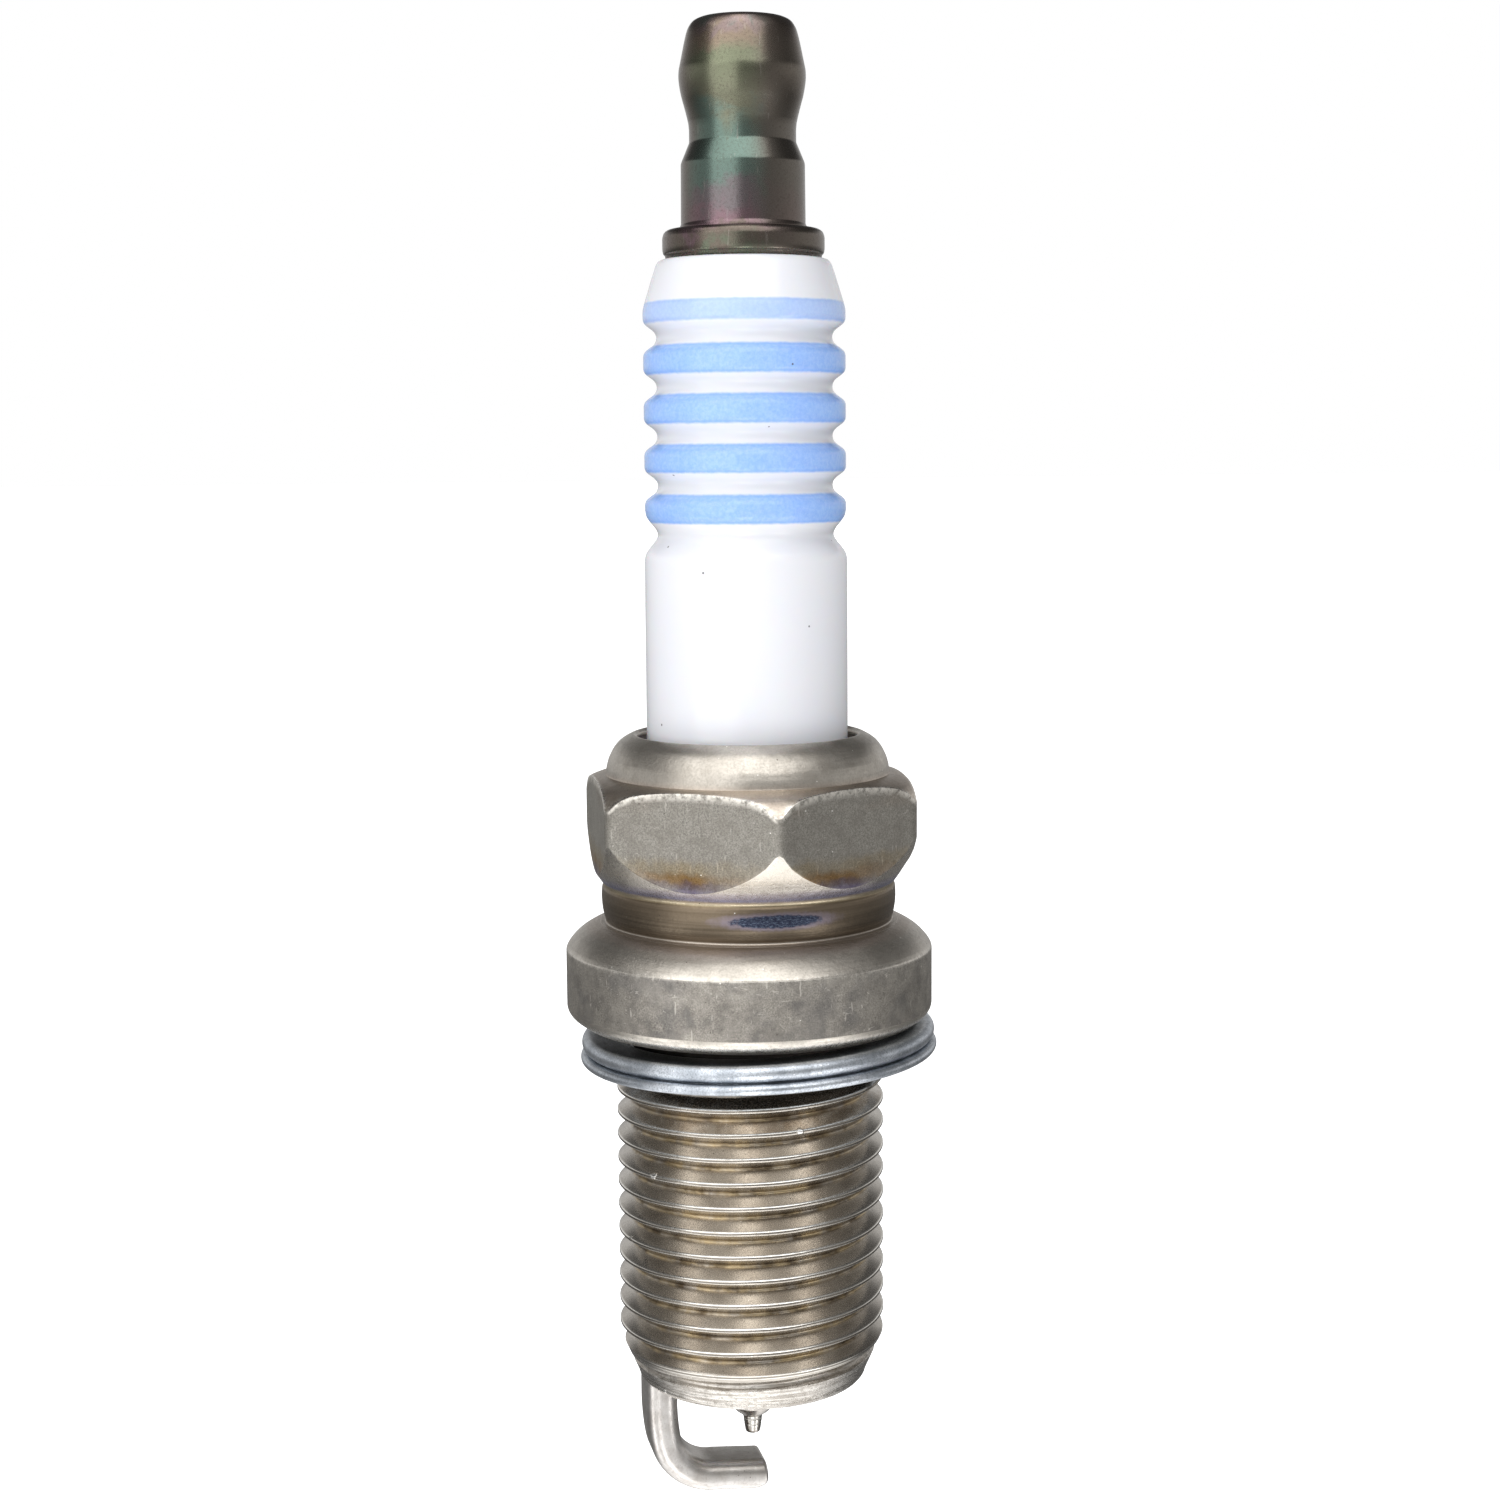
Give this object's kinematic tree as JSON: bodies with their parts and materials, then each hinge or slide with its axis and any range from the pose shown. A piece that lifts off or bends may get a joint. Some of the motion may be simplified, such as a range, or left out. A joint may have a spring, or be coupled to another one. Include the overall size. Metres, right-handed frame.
{
  "type": "spark plug",
  "caption": "Spark plug with a ribbed glazed insulator, hexagon shell, threaded shank, loose folded gasket, screw-off terminal nut and a fine firing pin over a bent ground electrode.",
  "frame": {"origin": "centre of the shell's seat plane, where the underside of the flange meets the gasket", "axes": "+Z along the plug's axis towards the terminal; the ground electrode's leg is on the -X side and its arm runs towards +X"},
  "size_m": [0.0191, 0.0188, 0.0758],
  "materials": {
    "shell_plating": "satin",
    "strap_nickel": "satin",
    "gasket_plating": "satin",
    "porcelain": "gloss",
    "electrode_nickel": "satin",
    "core_copper": "satin",
    "tip_metal": "polished",
    "seal_glass": "gloss",
    "resistor_mix": "matte",
    "terminal_plating": "gloss",
    "packing_steel": "satin",
    "talc_powder": "matte"
  },
  "bodies": {
    "plug": {"shell": "shell_plating", "ground_electrode": "strap_nickel", "insulator": "porcelain", "centre_electrode": "electrode_nickel", "copper_core": "core_copper", "firing_tip": "tip_metal", "lower_glass_seal": "seal_glass", "resistor": "resistor_mix", "upper_glass_seal": "seal_glass", "terminal_stud": "terminal_plating", "seat_packing": "packing_steel", "lower_packing_ring": "packing_steel", "talc_fill": "talc_powder", "upper_packing_ring": "packing_steel"},
    "terminal_nut": {"terminal_nut": "terminal_plating"},
    "gasket": {"gasket": "gasket_plating"}
  },
  "joints": [
    {"name": "terminal_nut_lift", "type": "slide", "parent": "plug", "child": "terminal_nut", "axis": [0, 0, 1], "range_m": [0, 0.009]},
    {"name": "gasket_turn", "type": "hinge", "parent": "plug", "child": "gasket", "pos_m": [0.00044, -0.00009, -0.00135], "axis": [-0.0341, 0.0073, 0.9994], "continuous": true}
  ]
}
